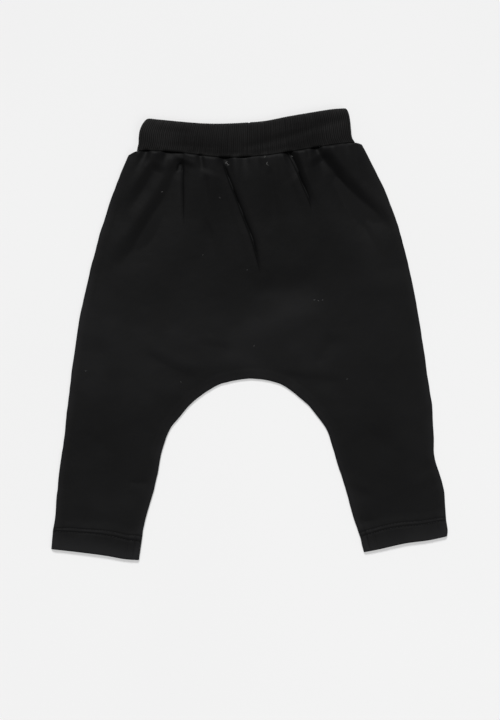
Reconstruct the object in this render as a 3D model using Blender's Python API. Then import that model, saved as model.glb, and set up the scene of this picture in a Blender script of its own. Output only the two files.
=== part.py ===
"""A small child's track pants with a dropped crotch, laid flat with the back up.

Three pieces are cut and sewn: a rib waistband folded double over its elastic,
a back panel, and a front panel that lies on the surface. The turned-up hem of
each leg belongs to the panels, so it shows as a doubled wall.

The surface is z = 0, the waist points to +Y, and x = y = 0 is the middle of
the garment. Tables are in millimetres; the finished meshes are in metres.
"""

import bpy
import numpy as np

MM = 0.001

# ---- driving sizes, mm -----------------------------------------------------
CLOTH = 1.4            # sweatshirt knit, one layer
SEAM_GAP = 0.3         # kept between pieces
BAND_WALL = 3.3        # rib, elastic, rib: one side of the folded band
BAND_PARTING = 0.8     # between the two sides of the band
HEM_DEPTH = 24.0       # turned-up leg hem
HEM_STEP = 1.6         # length over which the doubled wall begins
EDGE_ROUND = 3.0       # the seam edges roll off over this width
EDGE_ROLL = 0.4        # and by this much
AIR = 0.9              # air left between the panels away from the seams
AIR_SPREAD = 14.0
BAND_LIFT = 24.0       # length over which the panels climb to the band
FRONT_RISE = 1.0       # climb of the front panel at the band
BACK_RISE = 3.0        # climb of the back panel at the band

BACK_COLUMNS = 17      # mesh columns in each half of the back panel
FRONT_COLUMNS = 9
BAND_STATIONS = 26

# Side seams, read down from the waist: height, then where each side lies.
SIDE_SEAMS = np.array([
    # y      left     right
    (164.0, -127.6, 125.5),
    (144.0, -135.4, 135.1),
    (114.0, -145.4, 147.0),
    (84.0, -154.2, 155.5),
    (54.0, -161.8, 162.5),
    (24.0, -168.5, 168.2),
    (-6.0, -173.4, 172.9),
    (-36.0, -177.6, 177.5),
    (-66.0, -181.6, 181.9),
    (-96.0, -184.6, 184.2),
    (-126.0, -189.1, 185.6),
    (-138.0, -190.8, 189.5),
    (-152.0, -192.2, 193.6),
    (-186.0, -194.6, 196.6),
])
# Where the side seams start under the band and end at the hem.
SHOULDERS = {"left": (-121.3, 178.6), "right": (112.6, 189.4)}
HEM_OUTER = {"left": (-198.0, -215.0), "right": (198.0, -200.2)}
HEM_INNER = {"left": (-110.6, -225.4), "right": (114.0, -216.6)}

# Crotch arch and inseams, read down from its crown.
CROWN = (0.5, -44.7)
INSEAMS = np.array([
    # y       left     right
    (-46.5, -14.0, 17.2),
    (-50.5, -29.0, 31.2),
    (-57.5, -42.7, 42.6),
    (-66.0, -54.0, 53.4),
    (-81.0, -68.5, 66.5),
    (-96.0, -79.7, 77.0),
    (-111.0, -85.9, 82.3),
    (-131.0, -90.2, 88.2),
    (-156.0, -95.8, 96.4),
    (-181.0, -102.8, 103.3),
    (-206.0, -108.0, 111.3),
])

# Seam between the band and the panels, left to right: x, y.
WAIST_SEAM = [
    (-113.5, 182.2),
    (-105.5, 183.2),
    (-92.0, 182.8),
    (-69.5, 181.0),
    (-24.5, 176.4),
    (12.5, 178.0),
    (40.5, 182.0),
    (70.5, 187.0),
    (98.0, 190.6),
    (106.5, 190.9),
]
# Folded upper edge of the band, left to right: x, y.
BAND_TOP = [
    (-103.0, 215.4),
    (-81.5, 213.2),
    (-33.5, 209.9),
    (-9.5, 210.7),
    (14.5, 212.6),
    (38.5, 217.2),
    (62.5, 221.3),
    (86.5, 224.8),
    (97.5, 225.4),
]
# How far the band's two ends bow outward or in, half way up.
BAND_END_BOW = {"left": -1.8, "right": 0.6}

# Hem edges from the side seam to the inseam: the middle points.
HEM_SAG = {
    "left": [(-167.5, -218.4), (-137.5, -222.4)],
    "right": [(157.5, -209.4), (127.5, -216.0)],
}

# Gathers under the band and the large creases of the back panel.
# A positive rise is a puff, a negative one a trough; x and y run from the
# fold's head to its tail, and it fades toward the tail.
FOLDS = [
    # head x  head y  tail x  tail y  half width  rise
    (-95.5, 176.0, -117.0, 141.0, 8.0, 2.1),
    (-56.5, 174.0, -56.0, 131.0, 7.0, 1.9),
    (-37.0, 172.0, -34.0, 138.0, 6.0, 1.6),
    (-8.0, 171.0, 2.0, 122.0, 8.0, 1.0),
    (24.0, 174.0, 30.0, 119.0, 8.0, 2.0),
    (54.0, 180.0, 76.0, 132.0, 7.0, 2.0),
    (88.0, 184.0, 116.0, 152.0, 9.0, 2.3),
    (-66.5, 178.0, -66.0, 110.0, 4.5, -2.1),
    (-25.5, 172.0, -5.0, 110.0, 5.0, -2.2),
    (-5.0, 110.0, 12.5, 54.0, 5.0, -1.2),
    (38.5, 184.0, 58.5, 130.0, 5.0, -2.2),
    (70.5, 182.0, 120.5, 131.0, 7.0, -1.7),
    (-78.0, 162.0, -131.5, 66.0, 8.0, -1.5),
]
# The long soft ridge that crosses the seat, left to right.
SEAT_RIDGE = [(-139.5, -1.0), (-69.5, -4.0), (-4.5, 1.0), (42.5, 31.0), (70.5, 36.0)]
SEAT_RIDGE_HALF_WIDTH = 17.0
SEAT_RIDGE_RISE = 1.6

# Rows of the panels' mesh: shares of the way down the body to the crown of
# the crotch, shares of the way down each leg to its hem, and distances above
# the hem's edge, where two rows close together carry the step of the hem.
BODY_ROWS = [0, 0.02, 0.05, 0.085, 0.125, 0.17, 0.22, 0.28, 0.345, 0.41, 0.48,
             0.55, 0.62, 0.69, 0.76, 0.83, 0.89, 0.95, 1.0]
LEG_ROWS = [0.03, 0.065, 0.105, 0.15, 0.2, 0.255, 0.315, 0.38, 0.45, 0.52,
            0.6, 0.68, 0.76, 0.84, 0.92]
HEM_ROWS = [HEM_DEPTH + HEM_STEP / 2, HEM_DEPTH - HEM_STEP / 2, 10.0, 2.0, 0.0]
BODY_SHARE = 0.56      # share of the patch that is body rather than leg
SEAM_BODY_SHARE = 0.66 # share of the side seam beside the body rows

# Surface colours (linear) from a near-black knit.
CLOTH_COLOUR = (0.0105, 0.0108, 0.0118, 1.0)
BAND_COLOUR = (0.0118, 0.0110, 0.0108, 1.0)


# ---- curves and patches ----------------------------------------------------
def curve(rows):
    """A smooth curve through the rows, read by its share of length, 0 to 1."""
    p = np.asarray(rows, float)
    s = np.r_[0, np.cumsum(np.linalg.norm(np.diff(p, axis=0), axis=1))]
    slope = np.gradient(p, s, axis=0)

    def hermite(q):
        i = np.clip(np.searchsorted(s, q, side="right") - 1, 0, len(s) - 2)
        h = (s[i + 1] - s[i])[:, None]
        w = ((q - s[i])[:, None]) / h
        return ((2 * w**3 - 3 * w**2 + 1) * p[i] + (w**3 - 2 * w**2 + w) * h * slope[i]
                + (3 * w**2 - 2 * w**3) * p[i + 1] + (w**3 - w**2) * h * slope[i + 1])

    fine = np.linspace(0, s[-1], 400)
    length = np.r_[0, np.cumsum(np.linalg.norm(np.diff(hermite(fine), axis=0), axis=1))]
    share = length / length[-1]

    def at(t):
        return hermite(np.interp(np.atleast_1d(t), share, fine))

    at.length = length[-1]
    return at


def patch(top, bottom, left, right, u, v):
    """Grid of points between four edges that meet at their corners.

    top and bottom are points at u, left to right; left and right at v, down.
    """
    T, B, L, R = top[None], bottom[None], left[:, None], right[:, None]
    a, b = u[None, :, None], v[:, None, None]
    corners = ((1 - a) * (1 - b) * T[:, :1] + a * (1 - b) * T[:, -1:]
               + (1 - a) * b * B[:, :1] + a * b * B[:, -1:])
    return (1 - b) * T + b * B + (1 - a) * L + a * R - corners


def distance(points, path):
    """Shortest distance from each point to a path of straight runs."""
    a, b = path[:-1], path[1:]
    ab = b - a
    flat = points.reshape(-1, 1, 2)
    t = np.clip(((flat - a) * ab).sum(-1) / (ab * ab).sum(-1), 0, 1)
    near = np.linalg.norm(flat - (a + t[..., None] * ab), axis=-1).min(1)
    return near.reshape(points.shape[:-1])


def step(x):
    x = np.clip(x, 0, 1)
    return x * x * (3 - 2 * x)


# ---- the garment's outline -------------------------------------------------
def side_seam(side):
    column = 1 if side == "left" else 2
    rows = [SHOULDERS[side]] + [(r[column], r[0]) for r in SIDE_SEAMS] + [HEM_OUTER[side]]
    return curve(rows)


def inseam(side):
    """One leg's share of the curve that runs up one leg and down the other."""
    down = {"left": [(r[1], r[0]) for r in INSEAMS] + [HEM_INNER["left"]],
            "right": [(r[2], r[0]) for r in INSEAMS] + [HEM_INNER["right"]]}
    whole = curve(down["left"][::-1] + [CROWN] + down["right"])
    share = np.linspace(0, 1, 4001)
    crown = share[np.linalg.norm(whole(share) - CROWN, axis=1).argmin()]
    end = 0.0 if side == "left" else 1.0

    def at(t):
        return whole(crown + np.atleast_1d(t) * (end - crown))

    at.length = whole.length * abs(end - crown)
    return at


def hem_edge(side):
    return curve([HEM_OUTER[side]] + HEM_SAG[side] + [HEM_INNER[side]])


def waist_edge():
    """Upper edge of the panels: the waist seam with a shoulder at each end."""
    return curve([SHOULDERS["left"]] + WAIST_SEAM + [SHOULDERS["right"]])


def seam_height(x):
    """Height of the waist edge at x, for the piece that meets it."""
    run = waist_edge()(np.linspace(0, 1, 400))
    return np.interp(x, run[:, 0], run[:, 1])


MIDDLE = 0.5  # share of the waist edge that meets the centre line


def half_grid(side, u):
    """Points of one half: rows from waist to hem, columns from side to middle."""
    edge = waist_edge()
    outer, inner, hem = side_seam(side), inseam(side), hem_edge(side)
    centre_top, crown = edge(MIDDLE), np.array(CROWN)
    body, leg, up = np.array(BODY_ROWS), np.array(LEG_ROWS), np.array(HEM_ROWS)
    hem_start = 1 - up[0] / inner.length
    seam_start = 1 - up[0] / outer.length
    inner_leg = np.r_[leg * hem_start, 1 - up / inner.length]
    outer_leg = np.r_[SEAM_BODY_SHARE + leg * (seam_start - SEAM_BODY_SHARE),
                      1 - up / outer.length]
    left = outer(np.r_[body * SEAM_BODY_SHARE, outer_leg])
    right = np.r_[centre_top + body[:, None] * (crown - centre_top), inner(inner_leg)]
    v = np.r_[body * BODY_SHARE, BODY_SHARE + inner_leg * (1 - BODY_SHARE)]
    top = edge(u * MIDDLE) if side == "left" else edge(1 - u * (1 - MIDDLE))
    return patch(top, hem(u), left, right, u, v)


def outline(side):
    """Side seam and inseam of one half as one array of straight runs each."""
    t = np.linspace(0, 1, 90)
    return side_seam(side)(t), inseam(side)(t)


# ---- heights ---------------------------------------------------------------
def fold_relief(points):
    rise = np.zeros(points.shape[:-1])
    for hx, hy, tx, ty, half_width, height in FOLDS:
        head, run = np.array([hx, hy]), np.array([tx - hx, ty - hy])
        along = ((points - head) @ run) / (run @ run)
        t = np.clip(along, 0, 1)
        away = np.linalg.norm(points - (head + t[..., None] * run), axis=-1)
        width = half_width * (1 + 0.6 * t)
        rise += height * (1 - step(t)) * np.exp(-(away / width) ** 2)
    ridge = curve(SEAT_RIDGE)(np.linspace(0, 1, 40))
    rise += SEAT_RIDGE_RISE * np.exp(-(distance(points, ridge) / SEAT_RIDGE_HALF_WIDTH) ** 2)
    return rise


def fields(points):
    """Distances from each point to the seams, the hems and the band."""
    seams = np.minimum.reduce([distance(points, run) for side in ("left", "right")
                               for run in outline(side)])
    hems = np.minimum.reduce([distance(points, hem_edge(side)(np.linspace(0, 1, 40)))
                              for side in ("left", "right")])
    band = distance(points, waist_edge()(np.linspace(0, 1, 80)))
    return seams, hems, band


def front_heights(points):
    seams, hems, band = fields(points)
    roll = EDGE_ROLL * np.clip(1 - seams / EDGE_ROUND, 0, 1) ** 2
    climb = FRONT_RISE * (1 - step(band / (0.4 * BAND_LIFT)))
    wall = CLOTH * (1 + step((HEM_DEPTH + 0.5 * HEM_STEP - hems) / HEM_STEP))
    return np.maximum(roll, climb), climb + wall


def back_heights(points):
    seams, hems, band = fields(points)
    _, floor = front_heights(points)
    roll = EDGE_ROLL * np.clip(1 - seams / EDGE_ROUND, 0, 1) ** 2
    inside = 1 - np.exp(-(seams / AIR_SPREAD) ** 2)
    flat_hem = step((hems - HEM_DEPTH) / 40)
    climb = (BACK_RISE - FRONT_RISE) * (1 - step(band / BAND_LIFT))
    lower = floor + SEAM_GAP + inside * (
        AIR * (0.3 + 0.7 * flat_hem) + flat_hem * fold_relief(points)) + climb * inside
    lower = np.maximum(lower, floor + SEAM_GAP)
    wall = CLOTH * (1 + step((HEM_DEPTH + 0.5 * HEM_STEP - hems) / HEM_STEP))
    return lower, lower + wall - roll


# ---- meshes ----------------------------------------------------------------
def fabric(name, colour, roughness):
    material = bpy.data.materials.new(name)
    material.use_nodes = True
    shader = material.node_tree.nodes["Principled BSDF"]
    shader.inputs["Base Color"].default_value = colour
    shader.inputs["Roughness"].default_value = roughness
    shader.inputs["Metallic"].default_value = 0.0
    material.diffuse_color = colour
    return material


def add_object(name, points, faces, material):
    mesh = bpy.data.meshes.new(name)
    mesh.from_pydata([tuple(p) for p in np.asarray(points) * MM], [], faces)
    mesh.validate()
    mesh.materials.append(material)
    mesh.shade_smooth()
    piece = bpy.data.objects.new(name, mesh)
    bpy.context.scene.collection.objects.link(piece)
    return piece


def columns_of(count):
    """Even columns, with one narrow one where the seam edge rolls off."""
    even = np.linspace(0, 1, count)
    return np.insert(even, 1, 0.02)


def panel(name, columns, heights, material):
    """A wall cut in one piece: two halves that share the centre line."""
    u = columns_of(columns)
    grids = {side: half_grid(side, u) for side in ("left", "right")}
    body, (rows, cols) = len(BODY_ROWS), grids["left"].shape[:2]
    points, index = [], {}
    for side in ("left", "right"):
        ids = np.zeros((rows, cols), int)
        for i in range(rows):
            for j in range(cols):
                if side == "right" and j == cols - 1 and i < body:
                    ids[i, j] = index["left"][i, j]
                else:
                    ids[i, j] = len(points)
                    points.append(grids[side][i, j])
        index[side] = ids
    points = np.array(points)
    lower, upper = heights(points)
    count = len(points)
    faces, used = [], {}

    def quad(a, b, c, d):
        faces.append((a, b, c, d))
        faces.append((d + count, c + count, b + count, a + count))
        for edge in ((a, b), (b, c), (c, d), (d, a)):
            used[edge] = True

    for i in range(rows - 1):
        for j in range(cols - 1):
            l, r = index["left"], index["right"]
            quad(l[i + 1, j], l[i + 1, j + 1], l[i, j + 1], l[i, j])
            quad(r[i, j], r[i, j + 1], r[i + 1, j + 1], r[i + 1, j])
    for a, b in used:
        if (b, a) not in used:
            faces.append((b, a, a + count, b + count))
    solid = np.r_[np.c_[points, upper], np.c_[points, lower]]
    return add_object(name, solid, faces, material)


def waistband(material):
    """Both sides of the folded rib band, one loop flattened front on back."""
    seam, top = curve(WAIST_SEAM), curve(BAND_TOP)
    ends = {}
    for side, t in (("left", 0.0), ("right", 1.0)):
        a, b = top(t)[0], seam(t)[0]
        ends[side] = curve([a, (a + b) / 2 + (BAND_END_BOW[side], 0), b])
    # Levels up the band: how far its outer and inner faces stand from the
    # parting, as shares of the wall.
    levels = np.array([
        # height  outer  inner
        (0.00, 0.88, 0.00),
        (0.06, 1.00, 0.00),
        (0.50, 1.00, 0.00),
        (0.93, 1.00, 0.00),
        (1.00, 0.80, 0.16),
    ])
    u, v = np.linspace(0, 1, BAND_STATIONS), 1 - levels[::-1, 0]
    grid = patch(top(u), seam(u), ends["left"](v), ends["right"](v), u, v)[::-1]
    inset = BAND_WALL + BAND_PARTING / 2  # room for the fold at each end
    for row in grid:
        x0, x1 = row[0, 0], row[-1, 0]
        row[:, 0] = x0 + inset + (row[:, 0] - x0) * (x1 - x0 - 2 * inset) / (x1 - x0)
    # Round the loop: back side, right fold, front side, left fold.
    last, turn = BAND_STATIONS - 1, (30, 60, 90, 120, 150)
    slices = ([(j, 0) for j in range(BAND_STATIONS)] + [(last, a) for a in turn]
              + [(j, 180) for j in range(last, -1, -1)] + [(0, 180 + a) for a in turn])
    faces_up = [(k, 1) for k in range(5)] + [(k, 2) for k in range(4, -1, -1)]
    points, faces = [], []
    for j, degrees in slices:
        cos, sin = np.cos(np.radians(degrees)), np.sin(np.radians(degrees))
        for k, column in faces_up:
            radius = BAND_PARTING / 2 + levels[k, column] * BAND_WALL
            x, y = grid[k, j, 0] + radius * sin, grid[k, j, 1]
            if k == 0:
                y = seam_height(x) + SEAM_GAP
            points.append((x, y, BAND_WALL + BAND_PARTING / 2 + radius * cos))
    size = len(faces_up)
    for s in range(len(slices)):
        a, b = s * size, (s + 1) % len(slices) * size
        for n in range(size):
            m = (n + 1) % size
            faces.append((a + n, b + n, b + m, a + m))
    return add_object("waistband", points, faces, material)


def build():
    for piece in list(bpy.data.objects):
        bpy.data.objects.remove(piece, do_unlink=True)
    panel("front_panel", FRONT_COLUMNS, front_heights,
          fabric("front_cloth", CLOTH_COLOUR, 0.92))
    panel("back_panel", BACK_COLUMNS, back_heights,
          fabric("back_cloth", CLOTH_COLOUR, 0.92))
    waistband(fabric("rib_knit", BAND_COLOUR, 0.88))


build()
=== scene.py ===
"""Looks of a small child's dropped-crotch track pants, laid flat, back up.

Every length in the tables is in millimetres, in the garment's own frame:
z = 0 is the surface, +Y points to the waist, x = y = 0 is the middle.
"""

import bpy
import numpy as np
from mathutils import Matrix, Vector
from mathutils.geometry import delaunay_2d_cdt
from mathutils.kdtree import KDTree


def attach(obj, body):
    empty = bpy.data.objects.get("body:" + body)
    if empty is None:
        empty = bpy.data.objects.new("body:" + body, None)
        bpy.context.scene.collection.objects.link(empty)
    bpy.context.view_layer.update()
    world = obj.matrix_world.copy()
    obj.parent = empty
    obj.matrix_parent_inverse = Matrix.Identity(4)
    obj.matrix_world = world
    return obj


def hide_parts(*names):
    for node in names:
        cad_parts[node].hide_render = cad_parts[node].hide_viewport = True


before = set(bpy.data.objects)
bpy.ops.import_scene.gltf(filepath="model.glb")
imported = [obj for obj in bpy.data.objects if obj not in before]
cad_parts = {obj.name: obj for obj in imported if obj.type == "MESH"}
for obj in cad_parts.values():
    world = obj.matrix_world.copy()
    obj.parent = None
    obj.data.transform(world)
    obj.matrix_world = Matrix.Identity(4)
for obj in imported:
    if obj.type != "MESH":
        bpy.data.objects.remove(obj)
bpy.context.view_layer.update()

MM = 0.001

# ---- the garment's outline ---------------------------------------------------
SIDE_SEAMS = [
    # y      left     right
    (164.0, -127.6, 125.5),
    (144.0, -135.4, 135.1),
    (114.0, -145.4, 147.0),
    (84.0, -154.2, 155.5),
    (54.0, -161.8, 162.5),
    (24.0, -168.5, 168.2),
    (-6.0, -173.4, 172.9),
    (-36.0, -177.6, 177.5),
    (-66.0, -181.6, 181.9),
    (-96.0, -184.6, 184.2),
    (-126.0, -189.1, 185.6),
    (-138.0, -190.8, 189.5),
    (-152.0, -192.2, 193.6),
    (-186.0, -194.9, 196.8),
    (-197.0, -196.7, 198.3),
]
SHOULDERS = {"left": (-121.3, 178.6), "right": (112.6, 189.4)}
HEM_OUTER = {"left": (-198.4, -215.2), "right": (197.7, -202.4)}
HEM_INNER = {"left": (-110.6, -226.2), "right": (114.4, -218.3)}
HEM_SAG = {
    "left": [(-167.5, -218.7), (-141.5, -222.2), (-124.0, -225.3)],
    "right": [(180.0, -206.2), (157.5, -209.2), (127.5, -215.8)],
}
CROWN = (0.5, -44.7)
INSEAMS = [
    # y       left     right
    (-46.5, -14.0, 17.2),
    (-50.5, -29.0, 31.2),
    (-57.5, -42.7, 42.6),
    (-66.0, -54.0, 53.4),
    (-81.0, -68.5, 66.5),
    (-96.0, -79.7, 77.0),
    (-111.0, -85.9, 82.3),
    (-131.0, -90.2, 88.2),
    (-156.0, -95.8, 96.4),
    (-181.0, -102.8, 103.3),
    (-206.0, -108.0, 111.3),
]
WAIST_SEAM = [
    (-113.5, 182.2),
    (-105.5, 183.2),
    (-92.0, 182.8),
    (-69.5, 181.0),
    (-24.5, 176.4),
    (12.5, 178.0),
    (40.5, 182.0),
    (70.5, 187.0),
    (98.0, 190.6),
    (106.5, 190.9),
]
BAND_TOP = [
    (-103.0, 215.4),
    (-81.5, 213.2),
    (-33.5, 209.9),
    (-9.5, 210.7),
    (14.5, 212.6),
    (38.5, 217.2),
    (62.5, 221.3),
    (86.5, 224.8),
    (97.5, 225.4),
]
BAND_ENDS = {
    "left": [(-105.9, 211.0), (-109.4, 203.0), (-110.6, 196.0), (-111.0, 190.0)],
    "right": [(100.4, 215.0), (101.8, 204.0), (103.4, 196.0), (105.4, 192.6)],
}

# ---- heights, mm ----------------------------------------------------------------
CLOTH = 1.4
BACK_LIES = 3.2        # upper face of the back cloth where it lies on the front
AIR = 1.1              # air between the panels away from the seams
SEAM_LEVEL = 1.6       # the side seams and inseams lie at this height
EDGE_ROUND = 2.3       # width over which the cloth rolls into a seam
HEM_DEPTH = 24.0
HEM_THICK = 1.25       # what the turned-up layer adds
HEM_SHOWS = 0.42       # how much of that the outer face rises
# The two needle rows, by length along the hem from its outer end. They wander,
# and the pull of the stretch shows in the gap between them.
STITCH_ROWS = {
    # along, lower row, upper row, both above the hem's edge
    "left": [(0, 18.1, 21.2), (16, 18.7, 22.8), (33, 20.1, 23.6), (48, 20.3, 24.6), (63, 19.9, 24.6),
             (75, 19.3, 24.1), (92, 19.1, 24.6)],
    "right": [(0, 16.3, 19.6), (14, 16.5, 19.9), (32, 16.5, 20.5), (43, 17.1, 21.4), (53, 17.7, 21.8),
              (63, 17.8, 21.8), (73, 16.9, 21.4), (86, 16.2, 20.2)],
}
BAND_PARTING = 0.7
GROOVE_LEVEL = 3.7     # where the back cloth enters the waist seam

# Soft pleats and gathers of the back under the band. Each runs from its head
# at the seam to its tail; half widths at head and tail; a positive rise is a
# puff, a negative one a trough.
GATHERS = [
    # head x  head y  tail x  tail y  head w  tail w  rise
    (-111.5, 180.0, -131.0, 148.0, 5.0, 8.0, 1.2),
    (-102.5, 183.0, -113.0, 160.0, 3.5, 6.0, -1.9),
    (-94.0, 181.0, -118.0, 132.0, 7.0, 13.0, 2.0),
    (-83.0, 182.0, -88.0, 164.0, 4.2, 5.0, -1.3),
    (-75.0, 182.0, -93.0, 142.0, 8.0, 9.5, -1.9),
    (-58.0, 179.0, -58.5, 108.0, 6.0, 13.0, 1.7),
    (-49.5, 179.0, -46.0, 156.0, 2.2, 4.5, -1.6),
    (-38.5, 177.0, -33.0, 100.0, 6.5, 14.0, 1.4),
    (-25.0, 177.0, -17.0, 150.0, 4.6, 4.0, -2.9),
    (-14.0, 176.0, -5.0, 138.0, 4.0, 8.0, 0.5),
    (-6.0, 177.0, 0.0, 154.0, 8.0, 7.0, -1.4),
    (3.0, 177.0, 9.0, 146.0, 3.2, 7.0, 0.6),
    (17.5, 179.0, 30.0, 92.0, 8.0, 19.0, 1.4),
    (37.5, 183.0, 46.0, 158.0, 3.8, 3.5, -2.7),
    (51.0, 184.0, 74.0, 116.0, 7.0, 16.0, 2.3),
    (66.5, 186.0, 79.0, 160.0, 3.8, 6.5, -2.6),
    (82.0, 188.0, 112.0, 148.0, 8.5, 14.0, 2.5),
    (104.0, 190.0, 122.0, 160.0, 7.0, 9.0, 1.5),
]
# Creases with an edge: a path, the width of the slope on its left and on its
# right as one travels down it, its depth, and the lengths over which it
# begins and ends.
CREASES = [
    # path, left w, right w, depth, begins, ends
    ([(-66.8, 176.0), (-67.0, 150.0), (-66.6, 122.0), (-66.0, 98.0)], 1.0, 2.0, 0.75, 6, 46),
    ([(-69.6, 171.5), (-71.0, 166.5), (-72.4, 161.0)], 1.3, 1.1, 1.1, 3, 6),
    ([(-69.4, 171.5), (-67.8, 166.5), (-66.4, 161.0)], 1.1, 1.1, 1.0, 3, 6),
    ([(-26.0, 171.0), (-19.5, 152.0), (-12.0, 133.0), (-5.0, 114.5), (2.0, 97.0), (8.0, 74.0), (13.5, 52.0)],
     1.9, 0.55, 1.6, 8, 46),
    ([(37.0, 183.5), (41.5, 176.0), (47.0, 164.5), (53.0, 150.0), (59.0, 136.0), (64.0, 118.0)],
     3.0, 0.6, 2.2, 3, 34),
    ([(69.0, 180.0), (80.0, 166.0), (93.0, 151.0), (112.0, 129.5), (130.0, 112.0), (147.0, 97.0)],
     6.2, 16.0, 1.9, 8, 42),
    ([(82.0, 164.0), (93.0, 146.0), (107.0, 119.0), (121.0, 94.0), (134.0, 70.0)], 3.6, 10.0, 0.7, 16, 50),
    ([(-92.0, 172.0), (-99.0, 157.0), (-108.0, 141.0), (-121.0, 118.0)], 12.0, 5.2, 1.35, 10, 34),
    ([(-67.5, 176.0), (-77.5, 151.0), (-93.5, 120.0), (-112.0, 89.5), (-131.0, 65.0), (-141.0, 50.0)],
     17.0, 7.0, 1.9, 7, 66),
    ([(20.0, 168.0), (23.0, 140.0), (26.0, 104.0)], 3.1, 4.0, 0.36, 10, 34),
    ([(-44.0, 160.0), (-43.0, 140.0), (-40.5, 122.0)], 2.4, 2.8, 0.4, 8, 24),
    ([(-46.0, 118.0), (-40.0, 96.0), (-36.0, 74.0)], 4.0, 5.0, 0.35, 14, 24),
    # soft folds of the seat and the legs
    ([(-108.0, -18.0), (-84.0, -32.0), (-50.0, -48.0)], 5.0, 12.0, 0.42, 18, 14),
    ([(30.0, -40.0), (62.0, -46.0), (98.0, -50.0)], 4.4, 10.0, 0.32, 14, 20),
    ([(-4.0, 42.0), (22.0, 44.0), (48.0, 46.0), (74.0, 50.0)], 12.0, 11.0, 0.40, 18, 22),
    ([(-54.0, -9.0), (-31.0, -14.0), (-8.0, -19.0)], 4.4, 9.0, 0.17, 14, 14),
    ([(66.0, -32.0), (78.0, -14.0), (92.0, 0.0)], 5.0, 7.0, 0.26, 8, 14),
    ([(104.0, -90.0), (130.0, -108.0), (156.0, -130.0), (172.0, -146.0)], 9.0, 15.0, 0.27, 24, 26),
    ([(-122.0, -147.5), (-112.0, -149.0), (-100.0, -148.5)], 2.0, 3.2, 0.24, 6, 4),
    ([(184.5, -130.0), (172.0, -138.0), (158.0, -141.0)], 4.5, 7.5, 0.16, 4, 12),
    ([(191.0, -146.0), (178.0, -154.0), (166.0, -155.0)], 4.0, 7.0, 0.12, 4, 10),
    ([(97.0, -150.0), (112.0, -160.0), (128.0, -161.0)], 4.0, 6.0, 0.18, 4, 14),
    ([(104.0, -182.0), (116.0, -187.0), (124.0, -186.0)], 3.0, 4.0, 0.16, 4, 8),
    ([(-176.0, -96.0), (-150.0, -110.0), (-124.0, -112.0)], 8.0, 12.0, 0.14, 16, 24),
    ([(168.0, -84.0), (146.0, -98.0), (120.0, -96.0)], 8.0, 12.0, 0.14, 16, 24),
]
FINE_CREASES = 9  # the first rows get vertices of their own
FINE_NARROW = 5   # and the first of these come to an edge at their foot
# Long soft ridges of the back: path, half width, rise, begins, ends.
RIDGES = [
    ([(-160.0, -10.0), (-110.0, -15.0), (-69.0, -16.0), (-20.0, -15.0), (12.0, -4.0), (44.0, 8.5), (68.0, 15.0), (92.0, 18.0)],
     20.0, 0.60, 24, 40),
    ([(-12.0, -8.0), (18.0, 3.0), (42.0, 13.0), (64.0, 19.0)], 16.0, 0.44, 44, 20),
    ([(-170.0, 60.0), (-150.0, 20.0), (-150.0, -20.0)], 14.0, 0.5, 20, 20),
    ([(150.0, 70.0), (158.0, 10.0), (160.0, -50.0)], 16.0, 0.5, 20, 30),
    ([(-150.0, -112.0), (-148.0, -150.0), (-152.0, -190.0)], 16.0, 0.34, 26, 56),
    ([(140.0, -102.0), (148.0, -142.0), (156.0, -182.0)], 16.0, 0.34, 26, 56),
]
# Patches of painted highlight and painted shade, lighter or darker: path, half width, change.
PAINTED_LIGHT_PATCHES = [
    ([(2.0, 6.0), (28.0, 16.0), (48.0, 24.0), (58.0, 27.0)], 17.0, 0.22),
    ([(-166.0, 24.0), (-168.0, -28.0)], 20.0, 0.20),
    ([(-130.0, -24.0), (0.0, -28.0), (50.0, -24.0)], 26.0, 0.12),
    ([(-112.0, 122.0), (-94.0, 96.0)], 26.0, -0.16),
    ([(-30.0, 136.0), (-14.0, 106.0), (-6.0, 66.0)], 34.0, -0.16),
    ([(12.0, 62.0), (46.0, 60.0), (72.0, 60.0)], 13.0, -0.16),
    ([(22.0, 124.0), (44.0, 106.0), (68.0, 98.0)], 27.0, -0.26),
    ([(98.0, 88.0), (112.0, 82.0), (126.0, 66.0)], 15.0, 0.16),
    ([(34.0, 88.0), (62.0, 80.0)], 17.0, -0.14),
    ([(-44.0, 84.0), (-16.0, 42.0)], 25.0, -0.12),
    ([(-110.0, 164.0), (0.0, 160.0), (104.0, 166.0)], 46.0, -0.20),
    ([(60.0, 170.0), (84.0, 144.0), (98.0, 126.0)], 26.0, -0.16),
    ([(124.0, 108.0), (138.0, 96.0)], 11.0, -0.22),
    ([(-36.0, 112.0), (-32.0, 96.0)], 13.0, -0.14),
    ([(-120.0, 64.0), (0.0, 70.0), (120.0, 66.0)], 36.0, -0.16),
    ([(-141.0, -96.0), (-139.0, -110.0), (-137.0, -124.0)], 24.0, -0.28),
    ([(-166.0, -112.0), (-160.0, -124.0)], 14.0, -0.14),
    ([(-136.0, -148.0), (-124.0, -152.0)], 15.0, 0.12),
    ([(-150.0, -64.0), (-128.0, -68.0)], 18.0, 0.12),
    ([(-16.0, -20.0), (8.0, -36.0)], 12.0, 0.14),
    ([(-106.0, 86.0), (-96.0, 100.0)], 14.0, -0.16),
    ([(-168.0, -44.0), (-160.0, -60.0)], 17.0, 0.05),
    ([(-100.0, -64.0), (-88.0, -75.0)], 13.0, 0.12),
    ([(-158.0, -174.0), (-124.0, -180.0)], 22.0, 0.10),
    ([(-86.0, 173.0), (-72.0, 170.0)], 9.0, -0.24),
    ([(130.0, -92.0), (133.0, -118.0), (146.0, -146.0)], 27.0, -0.28),
]
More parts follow.
